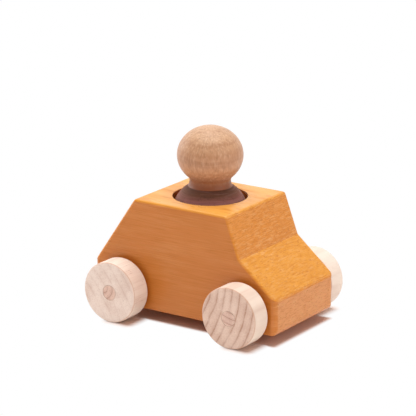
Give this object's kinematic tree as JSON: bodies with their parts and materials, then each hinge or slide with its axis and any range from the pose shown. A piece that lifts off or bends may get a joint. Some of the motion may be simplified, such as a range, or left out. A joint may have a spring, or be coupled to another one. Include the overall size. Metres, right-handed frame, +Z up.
{
  "type": "wooden toy car",
  "caption": "Solid wooden toy car with sloped tail, windscreen and bonnet, disc wheels on turning dowel axles, and a peg-doll driver that lifts out of a round seat in the roof.",
  "frame": {"origin": "on the ground below the middle of the body's length and width", "axes": "+X to the nose, +Y to the car's left, +Z up"},
  "size_m": [0.0836, 0.0634, 0.0753],
  "materials": {
    "orange_stained_wood": "clear orange stain, satin, sanded edges",
    "dowel_wood": "bare sanded dowel",
    "pale_wood": "bare sanded wood",
    "plum_stained_wood": "dark plum stain, satin",
    "tan_wood": "turned and sanded, oiled"
  },
  "bodies": {
    "car_body": {"car_body": "orange_stained_wood"},
    "front_wheelset": {"front_axle": "dowel_wood", "front_left_wheel": "pale_wood", "front_right_wheel": "pale_wood"},
    "rear_wheelset": {"rear_axle": "dowel_wood", "rear_left_wheel": "pale_wood", "rear_right_wheel": "pale_wood"},
    "doll": {"doll_body": "plum_stained_wood", "doll_head": "tan_wood"}
  },
  "joints": [
    {"name": "front_axle_spin", "type": "hinge", "parent": "car_body", "child": "front_wheelset", "pos_m": [0.0278, 0, 0.012], "axis": [0, 1, 0], "continuous": true},
    {"name": "rear_axle_spin", "type": "hinge", "parent": "car_body", "child": "rear_wheelset", "pos_m": [-0.0271, 0, 0.012], "axis": [0, 1, 0], "continuous": true},
    {"name": "doll_lift", "type": "slide", "parent": "car_body", "child": "doll", "axis": [0, 0, 1], "range_m": [0, 0.03]}
  ]
}
